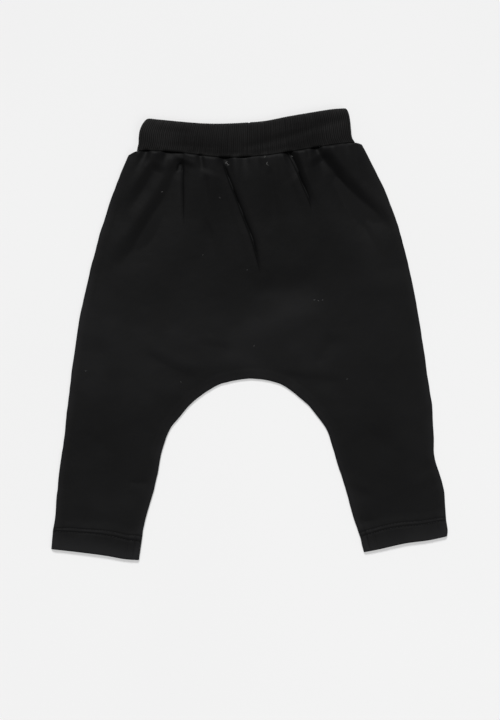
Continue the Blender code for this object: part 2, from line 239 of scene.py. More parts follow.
# Pressed pleats of the front, which lies face down: path, half width, depth.
FRONT_PLEATS = [
    ([(-98.0, 181.0), (-104.0, 166.0), (-112.0, 148.0)], 2.4, 0.8, 2, 20),
    ([(-72.0, 180.0), (-77.0, 158.0), (-84.0, 132.0)], 2.8, 1.0, 2, 34),
    ([(-47.0, 178.0), (-50.0, 164.0), (-52.0, 148.0)], 2.0, 0.7, 2, 16),
    ([(-21.0, 175.0), (-20.0, 150.0), (-16.0, 112.0)], 2.6, 1.0, 2, 44),
    ([(2.0, 176.0), (3.0, 162.0), (5.0, 150.0)], 1.8, 0.6, 2, 12),
    ([(29.0, 179.0), (34.0, 156.0), (37.0, 128.0)], 2.6, 1.0, 2, 34),
    ([(55.0, 183.0), (62.0, 168.0), (70.0, 150.0)], 2.2, 0.8, 2, 20),
    ([(79.0, 187.0), (90.0, 164.0), (104.0, 136.0)], 2.8, 0.9, 2, 34),
    ([(-120.0, 10.0), (-60.0, -6.0), (-8.0, 4.0), (60.0, 14.0)], 3.2, 0.5, 24, 30),
    ([(-90.0, -40.0), (-66.0, -52.0), (-52.0, -60.0)], 2.6, 0.4, 14, 8),
    ([(110.0, -60.0), (140.0, -84.0), (166.0, -90.0)], 3.0, 0.4, 14, 12),
]


# ---- curves ----------------------------------------------------------------------
def curve(rows):
    """A smooth curve through the rows, read by its share of length, 0 to 1."""
    p = np.asarray(rows, float)
    s = np.r_[0, np.cumsum(np.linalg.norm(np.diff(p, axis=0), axis=1))]
    slope = np.gradient(p, s, axis=0)

    def hermite(q):
        i = np.clip(np.searchsorted(s, q, side="right") - 1, 0, len(s) - 2)
        h = (s[i + 1] - s[i])[:, None]
        w = ((q - s[i])[:, None]) / h
        return ((2 * w**3 - 3 * w**2 + 1) * p[i] + (w**3 - 2 * w**2 + w) * h * slope[i]
                + (3 * w**2 - 2 * w**3) * p[i + 1] + (w**3 - w**2) * h * slope[i + 1])

    fine = np.linspace(0, s[-1], 1200)
    length = np.r_[0, np.cumsum(np.linalg.norm(np.diff(hermite(fine), axis=0), axis=1))]
    share = length / length[-1]

    def at(t):
        return hermite(np.interp(np.atleast_1d(t), share, fine))

    at.length = float(length[-1])
    return at


def side_seam(side):
    column = 1 if side == "left" else 2
    return curve([SHOULDERS[side]] + [(r[column], r[0]) for r in SIDE_SEAMS] + [HEM_OUTER[side]])


def inner_curve():
    """Up the left inseam, over the arch of the crotch and down the right one."""
    left = [(r[1], r[0]) for r in INSEAMS] + [HEM_INNER["left"]]
    right = [(r[2], r[0]) for r in INSEAMS] + [HEM_INNER["right"]]
    return curve(left[::-1] + [CROWN] + right)


def hem_edge(side):
    return curve([HEM_OUTER[side]] + HEM_SAG[side] + [HEM_INNER[side]])


def waist_edge():
    return curve([SHOULDERS["left"]] + WAIST_SEAM + [SHOULDERS["right"]])


def spaced(path, gap):
    """Points of a curve about gap apart, with both its ends."""
    return path(np.linspace(0, 1, max(2, int(round(path.length / gap)) + 1)))


def smooth(x, lo=0.0, hi=1.0):
    x = np.clip((x - lo) / (hi - lo), 0, 1)
    return x * x * (3 - 2 * x)


# ---- noise, the same each run ---------------------------------------------------------
def lattice(ix, iy, seed):
    h = (ix * 374761393 + iy * 668265263 + seed * 974634777) & 0xFFFFFFFF
    h = ((h ^ (h >> 13)) * 1274126177) & 0xFFFFFFFF
    return ((h ^ (h >> 16)) & 0xFFFF) / 32767.5 - 1


def noise(x, y, seed):
    x, y = np.broadcast_arrays(np.asarray(x, float), np.asarray(y, float))
    ix, iy = np.floor(x).astype(np.int64), np.floor(y).astype(np.int64)
    fx, fy = x - ix, y - iy
    u = fx**3 * (fx * (fx * 6 - 15) + 10)
    v = fy**3 * (fy * (fy * 6 - 15) + 10)
    a, b = lattice(ix, iy, seed), lattice(ix + 1, iy, seed)
    c, d = lattice(ix, iy + 1, seed), lattice(ix + 1, iy + 1, seed)
    return (a * (1 - u) + b * u) * (1 - v) + (c * (1 - u) + d * u) * v


# ---- distances ----------------------------------------------------------------------
class Path:
    """A run of points that reports how far other points are from it."""

    def __init__(self, points):
        self.p = np.asarray(points, float)
        self.s = np.r_[0, np.cumsum(np.linalg.norm(np.diff(self.p, axis=0), axis=1))]
        self.tree = KDTree(len(self.p))
        for i, (x, y) in enumerate(self.p):
            self.tree.insert((x, y, 0.0), i)
        self.tree.balance()

    def near(self, P):
        """Distance, side (positive on the left of travel) and length along."""
        find = self.tree.find
        index = np.fromiter((find((x, y, 0.0))[1] for x, y in P), int, len(P))
        best = np.full(len(P), np.inf)
        side, along = np.zeros(len(P)), np.zeros(len(P))
        for start in (np.maximum(index - 1, 0), np.minimum(index, len(self.p) - 2)):
            a, b = self.p[start], self.p[start + 1]
            ab, ap = b - a, P - a
            length2 = np.maximum((ab * ab).sum(1), 1e-12)
            t = np.clip((ap * ab).sum(1) / length2, 0, 1)
            gap = np.linalg.norm(ap - t[:, None] * ab, axis=1)
            closer = gap < best
            best = np.where(closer, gap, best)
            cross = ab[:, 0] * ap[:, 1] - ab[:, 1] * ap[:, 0]
            side = np.where(closer, np.sign(cross), side)
            along = np.where(closer, self.s[start] + t * np.sqrt(length2), along)
        return best, best * side, along


def around(P, points, reach):
    """Which points of P are near a path at all."""
    p = np.asarray(points, float)
    lo, hi = p.min(0) - reach, p.max(0) + reach
    return ((P > lo) & (P < hi)).all(1)


# ---- the outline as one loop ------------------------------------------------------------
WOBBLE = 0.35  # small unevenness of the cut edge


def wavy(points, seed):
    t = np.gradient(points, axis=0)
    t /= np.linalg.norm(t, axis=1)[:, None]
    s = np.r_[0, np.cumsum(np.linalg.norm(np.diff(points, axis=0), axis=1))]
    ends = smooth(np.minimum(s, s[-1] - s), 0, 8)
    off = WOBBLE * ends * (noise(s / 17.0, 0.3, seed) + 0.45 * noise(s / 6.0, 0.7, seed + 1))
    return points + off[:, None] * np.c_[t[:, 1], -t[:, 0]]


def build_runs(gap):
    runs = {
        "waist": spaced(waist_edge(), gap),
        "right_side": wavy(spaced(side_seam("right"), gap), 11),
        "right_hem": spaced(hem_edge("right"), gap),
        "inner": wavy(spaced(inner_curve(), gap), 23),
        "left_hem": spaced(hem_edge("left"), gap),
        "left_side": wavy(spaced(side_seam("left"), gap), 37),
    }
    return runs


RUNS = build_runs(1.1)


def make_loop():
    """The outline, clockwise from the left shoulder, without repeated corners."""
    parts = [RUNS["waist"], RUNS["right_side"], RUNS["right_hem"], RUNS["inner"][::-1],
             RUNS["left_hem"][::-1], RUNS["left_side"][::-1]]
    return np.vstack([part[:-1] for part in parts])


LOOP = make_loop()
SEAM_PATHS = [Path(RUNS["right_side"]), Path(RUNS["inner"]), Path(RUNS["left_side"])]
HEM_PATHS = {"left": Path(RUNS["left_hem"]), "right": Path(RUNS["right_hem"])}
BAND_PATH = Path(RUNS["waist"])
OUTLINE_PATH = Path(np.vstack([LOOP, LOOP[:1]]))


def inward(loop):
    t = np.roll(loop, -1, 0) - np.roll(loop, 1, 0)
    t /= np.linalg.norm(t, axis=1)[:, None]
    return np.c_[t[:, 1], -t[:, 0]]


def inside(P, loop):
    """Even-odd test of many points against a closed loop."""
    a, b = loop, np.roll(loop, -1, 0)
    hit = np.zeros(len(P), bool)
    for (ax, ay), (bx, by) in zip(a, b):
        if ay == by:
            continue
        cross = ((P[:, 1] > min(ay, by)) & (P[:, 1] <= max(ay, by)))
        rows = np.nonzero(cross)[0]
        x = ax + (P[rows, 1] - ay) * (bx - ax) / (by - ay)
        hit[rows[x > P[rows, 0]]] ^= True
    return hit


def hex_points(lo, hi, gap):
    dy = gap * np.sqrt(3) / 2
    ys = np.arange(lo[1], hi[1], dy)
    rows = [np.c_[np.arange(lo[0] + (gap / 2 if j % 2 else 0), hi[0], gap)[:, None] * [1, 0]
                  + [0, y]] for j, y in enumerate(ys)]
    return np.vstack(rows)


def fill_points(spacing, keep_off):
    """Inner points at the spacing that each zone asks for."""
    lo, hi = LOOP.min(0), LOOP.max(0)
    chosen = []
    for gap in sorted(set(spacing.values())):
        P = hex_points(lo, hi, gap)
        P = P[inside(P, LOOP)]
        off = OUTLINE_PATH.near(P)[0]
        hem = np.minimum(HEM_PATHS["left"].near(P)[0], HEM_PATHS["right"].near(P)[0])
        zone = np.where(hem < 31, "hem", np.where(P[:, 1] > 112, "gathers",
                        np.where(P[:, 1] > -52, "seat", "legs")))
        want = np.array([spacing[z] for z in zone])
        chosen.append(P[(np.abs(want - gap) < 1e-9) & (off > keep_off + 0.55 * gap)])
    return np.vstack(chosen)


def crease_points(P):
    """Rows of vertices beside each narrow crease, and P without those in the way."""
    rows = []
    for points, left_w, right_w, *_ in CREASES[:FINE_CREASES]:
        line = spaced(curve(points), 0.9)
        t = np.gradient(line, axis=0)
        t /= np.linalg.norm(t, axis=1)[:, None]
        left = np.c_[-t[:, 1], t[:, 0]]
        share = np.linspace(0.8, 1.2, len(line))[:, None]
        offsets = [0.0]
        for side, w in ((1, left_w), (-1, right_w)):
            row = [k * w for k in (0.2, 0.45, 0.7, 1.0, 1.4)]
            if min(left_w, right_w) <= 3.0:
                row = [0.07] + row + [row[-1] + step for step in (0.9, 1.9)]
            offsets += [side * o for o in row if o < 5.0]
        path = Path(line)
        clear = max(abs(o) for o in offsets) * 1.2 + 0.5
        P = P[~around(P, line, clear) | (path.near(P)[0] > clear)]
        own = np.vstack([line + left * (o * share) for o in offsets])
        if rows:
            taken = np.vstack(rows)
            tree = KDTree(len(taken))
            for i, (x, y) in enumerate(taken):
                tree.insert((x, y, 0.0), i)
            tree.balance()
            own = own[[tree.find((x, y, 0.0))[2] > 0.3 for x, y in own]]
        rows.append(own)
    own = np.vstack(rows)
    return np.vstack([P, own[inside(own, LOOP) & (OUTLINE_PATH.near(own)[0] > 3.2)]])


def triangulate(loop, points):
    """Triangles inside the loop; loop vertices come first and keep their order."""
    coords = [Vector((x, y)) for x, y in np.vstack([loop, points])]
    n = len(loop)
    edges = [(i, (i + 1) % n) for i in range(n)]
    verts, _, faces, source, _, _ = delaunay_2d_cdt(coords, edges, [list(range(n))], 1, 1e-7)
    order = np.array([s[0] for s in source])
    xy = np.array([tuple(v) for v in verts])
    tris = np.array([f for f in faces if len(f) == 3])
    # Put the vertices back in the order they were given.
    place = np.empty(len(coords), int)
    place[:] = -1
    place[order] = np.arange(len(xy))
    rest = np.setdiff1d(np.arange(len(xy)), place[:n])
    new = np.r_[place[:n], rest]
    back = np.empty(len(xy), int)
    back[new] = np.arange(len(xy))
    xy, tris = xy[new], back[tris]
    a, b, c = xy[tris[:, 0]], xy[tris[:, 1]], xy[tris[:, 2]]
    area = (b[:, 0] - a[:, 0]) * (c[:, 1] - a[:, 1]) - (b[:, 1] - a[:, 1]) * (c[:, 0] - a[:, 0])
    tris[area < 0] = tris[area < 0][:, ::-1]
    return xy, tris[np.abs(area) > 1e-9]


# ---- heights -------------------------------------------------------------------------------
def envelope(along, length, begins, ends):
    return smooth(along, 0, max(begins, 1e-3)) * (1 - smooth(along, length - ends, length))


def gather_relief(P):
    rise = np.zeros(len(P))
    for hx, hy, tx, ty, head_w, tail_w, height in GATHERS:
        head, run = np.array([hx, hy]), np.array([tx - hx, ty - hy])
        reach = 3.2 * max(head_w, tail_w)
        rows = np.nonzero(around(P, [(hx, hy), (tx, ty)], reach))[0]
        q = P[rows] - head
        length = np.hypot(*run)
        t = (q @ run) / length**2
        across = (q[:, 0] * run[1] - q[:, 1] * run[0]) / length
        k = np.clip(t, 0, 1)
        width = head_w + (tail_w - head_w) * k
        fade = (1 - k) ** 1.5
        beyond = np.clip(-t, 0, None) * length
        shape = np.exp(-np.abs(across / width) ** 2.2) * np.exp(-(beyond / 6.0) ** 2)
        rise[rows] += height * fade * shape
    return rise


def crease_relief(P, table, sharp=1.9):
    rise = np.zeros(len(P))
    for points, left_w, right_w, depth, begins, ends in table:
        path = Path(spaced(curve(points), 0.8))
        reach = 4.2 * max(left_w, right_w, 3.2)
        rows = np.nonzero(around(P, path.p, reach))[0]
        gap, side, along = path.near(P[rows])
        length = path.s[-1]
        width = np.where(side > 0, left_w, right_w) * (0.8 + 0.4 * along / length)
        level = envelope(along, length, begins, ends)
        # a narrow crease comes to an edge at its foot, a broad one is round
        narrow = min(left_w, right_w) <= 3.0
        trough = np.exp(-(gap / width) ** (1.2 if narrow else sharp))
        lip_width = np.maximum(width, 3.2) if narrow else width
        lips = (0.12 if narrow else 0.28) * np.exp(-((gap - 2.1 * lip_width) / lip_width) ** 2)
        rise[rows] += depth * level * (lips - trough)
    return rise


def ridge_relief(P):
    rise = np.zeros(len(P))
    for points, half_width, height, begins, ends in RIDGES:
        path = Path(spaced(curve(points), 2.0))
        rows = np.nonzero(around(P, path.p, 5 * half_width))[0]
        gap, side, along = path.near(P[rows])
        width = half_width * np.where(side > 0, 1.0, 1.8)
        rise[rows] += height * envelope(along, path.s[-1], begins, ends) * np.exp(
            -(gap / width) ** 2)
    return rise


def quarter(x, radius):
    """Rise of a quarter round, from 0 at an edge to 1 at radius from it."""
    k = 1 - np.clip(x / radius, 0, 1)
    return np.sqrt(np.maximum(1 - k * k, 0))


class Fields:
    """Distances that every height is worked out from."""

    def __init__(self, P):
        self.P = P
        near = [path.near(P) for path in SEAM_PATHS]
        self.seam = np.minimum.reduce([n[0] for n in near])
        self.right_side, self.inner, self.left_side = (n[0] for n in near)
        self.inner_along = near[1][2]
        left, right = HEM_PATHS["left"].near(P), HEM_PATHS["right"].near(P)
        self.on_left = left[0] < right[0]
        self.hem = np.where(self.on_left, left[0], right[0])
        self.hem_along = np.where(self.on_left, left[2], right[2])
        self.rows = [np.where(self.on_left, stitch_row("left", self.hem_along, k),
                              stitch_row("right", self.hem_along, k)) for k in (0, 1)]
        self.band, _, self.band_along = BAND_PATH.near(P)


def stitch_row(side, along, k):
    """Height of a needle row above the hem's edge; k is 0 for the lower one."""
    table = np.asarray(STITCH_ROWS[side], float)
    return np.interp(along, table[:, 0], table[:, 1 + k])


def hem_profile(f, seed, deep=1.0):
    """Relief of a turned-up hem and its two needle rows, seen from outside."""
    e, s = f.hem, f.hem_along
    lower, upper = f.rows
    groove = 0.0
    for k, row in enumerate((lower, upper)):
        drift = 0.25 * noise(s / 14.0, k + 0.5, seed)
        pull = 0.80 + 0.20 * np.cos(2 * np.pi * s / 2.9 + k)
        uneven = 0.65 + 0.4 * s / 88.0 + 0.45 * noise(s / 11.0, k + 3.5, seed + 3)
        groove = groove + 0.42 * pull * uneven * np.exp(
            -((e - row - drift) / 0.75) ** 2)
    between = 0.16 * np.exp(-((e - (lower + upper) / 2) / (0.34 * (upper - lower))) ** 2)
    layer = HEM_SHOWS * (1 - smooth(e, upper - 0.4, upper + 10.0))
    pucker = 0.16 * noise(s / 4.3, 0.2, seed + 5) * np.exp(-((e - lower) / 6.0) ** 2)
    pucker += 0.08 * noise(s / 8.0, e / 6.0, seed + 16) * np.exp(-((e - upper - 8) / 8.0) ** 2)
    plump = 0.24 * np.sin(np.pi * np.clip(e / lower, 0, 1))
    fade = smooth(44.0 - e, 0, 10)
    # the inseam's allowance shows through the hem as a pressed strip
    strip = 0.36 * (smooth(f.inner, 6.2, 7.2) - smooth(f.inner, 12.6, 13.6)) * (
        1 - 0.75 * smooth(e, lower, lower + 10))
    strip -= (0.36 * np.exp(-((f.inner - 6.0) / 0.8) ** 2) + 0.32 * np.exp(-((f.inner - 13.9) / 0.8) ** 2)) * (
        1 - smooth(e, lower - 3, lower + 5))
    strip += 0.18 * (smooth(np.minimum(f.left_side, f.right_side), 2.6, 3.8)
                     - smooth(np.minimum(f.left_side, f.right_side), 8.6, 10.0)) * (
        1 - smooth(e, lower, lower + 6))
    return layer + fade * (deep * (between - groove) + pucker + plump * 0.6 + strip)


def back_top(P, f=None):
    """Upper face of the back cloth."""
    f = f or Fields(P)
    x, y = P[:, 0], P[:, 1]
    calm = quarter(f.seam, 26.0)
    near_hem = smooth(f.hem, 24, 60)
    z = BACK_LIES + AIR * (1 - np.exp(-(f.seam / 17.0) ** 2)) * (0.8 + 0.2 * near_hem)
    # the cloth climbs to the band
    climb = 1 - smooth(f.band, 0, 68)
    z += 2.6 * climb * quarter(f.seam, 30.0)
    away = quarter(f.seam, 14.0)
    gathers = gather_relief(P)
    z += away * (1.25 * gathers + 1.3 * ridge_relief(P))
    z += 1.5 * quarter(f.seam, 6.0) * crease_relief(P, CREASES)
    # the gathers' small wrinkles, finer near the band
    fan = x - 0.22 * (x + 4.0) * (180.0 - y) / 120.0
    fine = np.exp(-f.band / 13.0)
    z += away * fine * (0.55 * noise(fan / 6.5, y / 40.0, 3) + 0.22 * noise(fan / 2.9, y / 22.0, 4))
    mid = np.exp(-f.band / 60.0)
    z += away * mid * 0.35 * noise(fan / 15.0, y / 60.0, 5)
    # the unevenness of cloth that was only smoothed by hand
    z += calm * (0.20 * noise(x / 61.0, y / 54.0, 6) + 0.11 * noise(x / 24.0, y / 29.0, 7)
                 + 0.055 * noise(x / 9.5, y / 9.0, 8))
    z += 0.028 * noise(x / 3.1, y / 3.4, 9)
    # a faint ridge over the allowance of each seam
    z += 0.22 * (smooth(f.seam, 2.0, 3.2) - smooth(f.seam, 7.5, 10.5)) * (1 - climb)
    z += 0.10 * noise(f.inner_along / 7.0, f.seam / 9.0, 10) * np.exp(-(f.seam / 7.0) ** 2)
    z += hem_profile(f, 41)
    # edges: seams first, then the folded hem, then the waist seam
    level = SEAM_LEVEL + 0.12
    z = np.maximum(z, level + 0.6)
    z = level + (z - level) * quarter(f.seam, EDGE_ROUND)
    lip = level + (3.5 - level) * quarter(f.seam, EDGE_ROUND)
    z = np.where(f.hem < 1.9, lip + (z - lip) * quarter(f.hem, 1.9), z)
    puff = smooth(gathers, -1.6, 0.5)
    groove = level + (GROOVE_LEVEL + 2.9 * puff - level) * quarter(f.seam, 16.0)
    tuck = 1.9 + 1.4 * puff + 0.9 * smooth(-gathers, 1.3, 2.2) + 0.5 * noise(f.band_along / 11.0, 0.4, 12)
    z = np.where(f.band < tuck, groove + (z - groove) * quarter(f.band, tuck), z)
    return z


def front_inner(P, f=None):
    """Upper, hidden face of the front cloth."""
    f = f or Fields(P)
    climb = 1 - smooth(f.band, 0, 12)
    return (SEAM_LEVEL - 0.2 + 1.0 * climb * quarter(f.seam, 20.0)
            + HEM_THICK * (1 - smooth(f.hem, HEM_DEPTH - 0.6, HEM_DEPTH + 2)) * quarter(f.seam, 3.0))


def back_inner(P, f=None):
    f = f or Fields(P)
    floor = front_inner(P, f) + 0.16
    z = back_top(P, f) - CLOTH - HEM_THICK * (1 - smooth(f.hem, HEM_DEPTH - 1, HEM_DEPTH + 2))
    return np.maximum(z, floor)


def front_under(P, f=None):
    """Lower face of the front cloth: flat on the surface, with pressed pleats."""
    f = f or Fields(P)
    climb = 1 - smooth(f.band, 0, 11)
    z = 0.75 * climb * quarter(f.seam, 12.0)
    table = [(p, w, w * 1.3, -d, b, e) for p, w, d, b, e in FRONT_PLEATS]
    rise = crease_relief(P, table)
    z += np.maximum(rise, 0) * quarter(f.seam, 5.0)
    z += 0.25 * np.exp(-f.band / 10.0) * (1 + noise(P[:, 0] / 5.0, P[:, 1] / 30.0, 61))
    for k, row in enumerate(f.rows):
        z += 0.35 * np.exp(-((f.hem - row - 0.25 * noise(f.hem_along / 14.0, k + 0.5, 71)) / 0.8) ** 2)
    level = SEAM_LEVEL - 0.3
    z = level + (z - level) * quarter(f.seam, EDGE_ROUND)
    lip = level + (2.1 - level) * quarter(f.seam, EDGE_ROUND)
    z = np.where(f.hem < 1.7, lip + (z - lip) * quarter(f.hem, 1.7), z)
    groove = level + (1.7 - level) * quarter(f.seam, 10.0)
    z = np.where(f.band < 2.0, groove + (z - groove) * quarter(f.band, 2.0), z)
    return np.minimum(z, front_inner(P, f) - 0.25)


# ---- meshes -------------------------------------------------------------------------------
def to_object(name, points, faces, tone=None):
    mesh = bpy.data.meshes.new(name)
    points = np.asarray(points, float) * MM
    if isinstance(faces, np.ndarray):
        n, k = faces.shape
        mesh.vertices.add(len(points))
        mesh.vertices.foreach_set("co", points.astype(np.float32).ravel())
        mesh.loops.add(n * k)
        mesh.loops.foreach_set("vertex_index", faces.astype(np.int32).ravel())
        mesh.polygons.add(n)
        mesh.polygons.foreach_set("loop_start", np.arange(0, n * k, k, dtype=np.int32))
        mesh.update(calc_edges=True)
    else:
        mesh.from_pydata([tuple(p) for p in points], [], faces)
    mesh.validate()
    mesh.shade_smooth()
    if tone is not None:
        layer = mesh.attributes.new("tone", "FLOAT", "POINT")
        layer.data.foreach_set("value", np.asarray(tone, np.float32))
    piece = bpy.data.objects.new(name, mesh)
    bpy.context.scene.collection.objects.link(piece)
    return piece


def wall(name, outer, inner, spacing, coarse, rings, tone_of, outer_up):
    """A closed wall of cloth: a fine outer face, a coarse inner one, and a rim."""
    n = inward(LOOP)
    ring_points = []
    for d in rings:
        P = LOOP + n * d
        off = OUTLINE_PATH.near(P)[0]
        ring_points.append(P[(off > 0.96 * d) & inside(P, LOOP)])
    filling = fill_points(spacing, rings[-1])
    fine = np.vstack(ring_points + [crease_points(filling) if outer_up else filling])
    xy, tris = triangulate(LOOP, fine)
    f = Fields(xy)
    top = outer(xy, f)
    inset = LOOP + n * 0.3
    xy2, tris2 = triangulate(inset, fill_points(coarse, 1.2))
    f2 = Fields(xy2)
    low = inner(xy2, f2)
    count, loop = len(xy), len(LOOP)
    # the two faces meet at the rim
    if outer_up:
        low[:loop] = np.minimum(low[:loop], top[:loop] - 0.02)
        faces = np.vstack([tris, tris2[:, ::-1] + count])
    else:
        low[:loop] = np.maximum(low[:loop], top[:loop] + 0.02)
        faces = np.vstack([tris[:, ::-1], tris2 + count])
    i = np.arange(loop)
    j = (i + 1) % loop
    rim = np.vstack([np.c_[i, j, j + count], np.c_[i, j + count, i + count]])
    # clockwise loop: i -> j runs with the outside on its left
    if not outer_up:
        rim = rim[:, ::-1]
    faces = np.vstack([faces, rim])
    points = np.r_[np.c_[xy, top], np.c_[xy2, low]]
    tone = np.r_[tone_of(xy, f), np.full(len(xy2), 0.5)]
    return to_object(name, points, faces, tone)


def cloth_tone(P, f):
    """Lightness of the cloth, 0.5 plain and more lighter: a random tone, lighter hems, painted highlights along the
    seams, patches of painted highlight and painted shade, and painted shade in the needle rows and at the feet of
    narrow creases.
    """
    t = 0.5 + 0.06 * noise(P[:, 0] / 48.0, P[:, 1] / 40.0, 81) + 0.06 * noise(P[:, 0] / 15.0, P[:, 1] / 13.0, 82)
    # lighter over the hems, more on the left leg
    t += np.where(P[:, 0] < 0, 0.78, 0.58) * (1 - smooth(f.hem, -4, 20))
    for row in f.rows:  # little light reaches the pulled-in needle rows
        t -= 0.45 * np.exp(-((f.hem - row) / 0.8) ** 2)
    # painted highlight along the seams, where the rolled edges catch the light
    t += 0.40 * np.exp(-(f.seam / 5.0) ** 2)
    # patches of painted highlight and painted shade
    for points, half_width, change in PAINTED_LIGHT_PATCHES:
        path = Path(spaced(curve(points), 3.0))
        rows = np.nonzero(around(P, path.p, 3 * half_width))[0]
        gap = path.near(P[rows])[0]
        t[rows] += change * np.exp(-(gap / half_width) ** 2)
    # little light reaches the foot of a narrow crease
    for points, left_w, right_w, depth, begins, ends in CREASES[:FINE_NARROW]:
        path = Path(spaced(curve(points), 0.8))
        rows = np.nonzero(around(P, path.p, 5.0))[0]
        gap, side, along = path.near(P[rows])
        t[rows] -= 1.2 * min(depth, 1.0) * envelope(along, path.s[-1], begins, ends) * np.exp(-(gap / 1.4) ** 2)
    return np.clip(t, -0.6, 1.2)


RINGS = (0.06, 0.25, 0.6, 1.1, 1.8, 2.8)
back_cloth = wall("back_cloth", back_top, back_inner,
                  {"gathers": 1.05, "seat": 1.5, "legs": 1.7, "hem": 0.85},
                  {"gathers": 5.0, "seat": 5.0, "legs": 5.0, "hem": 4.0},
                  RINGS, cloth_tone, True)
front_cloth = wall("front_cloth", front_under, front_inner,
                   {"gathers": 1.8, "seat": 2.4, "legs": 2.4, "hem": 1.2},
                   {"gathers": 5.0, "seat": 6.0, "legs": 6.0, "hem": 3.0},
                   RINGS, cloth_tone, False)


# ---- the rib band -----------------------------------------------------------------------------
BAND_PROFILE = [
    # share of height, reach from the parting: up the outside, over, down inside
    (0.000, 1.50),
    (0.006, 2.15),
    (0.026, 2.62),
    (0.070, 2.84),
    (0.160, 3.02),
    (0.300, 3.26),
    (0.450, 3.46),
    (0.600, 3.60),
    (0.750, 3.62),
    (0.870, 3.44),
    (0.945, 3.05),
    (0.985, 2.45),
    (1.000, 1.75),
    (0.985, 1.05),
    (0.945, 0.50),
    (0.870, 0.18),
    (0.700, 0.06),
    (0.450, 0.04),
    (0.200, 0.10),
    (0.060, 0.35),
    (0.010, 0.75),
]
BAND_FOLDS = [
    # share of height, thickness, depth, from x, to x, tilt
    (0.30, 0.12, 0.80, -14.0, 104.0, 0.38),
    (0.30, 0.07, 0.30, -98.0, -20.0, 0.10),
    (0.66, 0.06, 0.28, -104.0, -52.0, 0.00),
    (0.68, 0.05, 0.22, 30.0, 84.0, 0.00),
    (0.12, 0.06, 0.30, -60.0, 60.0, 0.00),
]
RIB_PITCH = 2.0
RIB_RISE = 0.46
BAND_SAMPLES = 7        # across each rib
BAND_JOIN_X = -1.0      # where the strip's two ends are sewn together, centre back


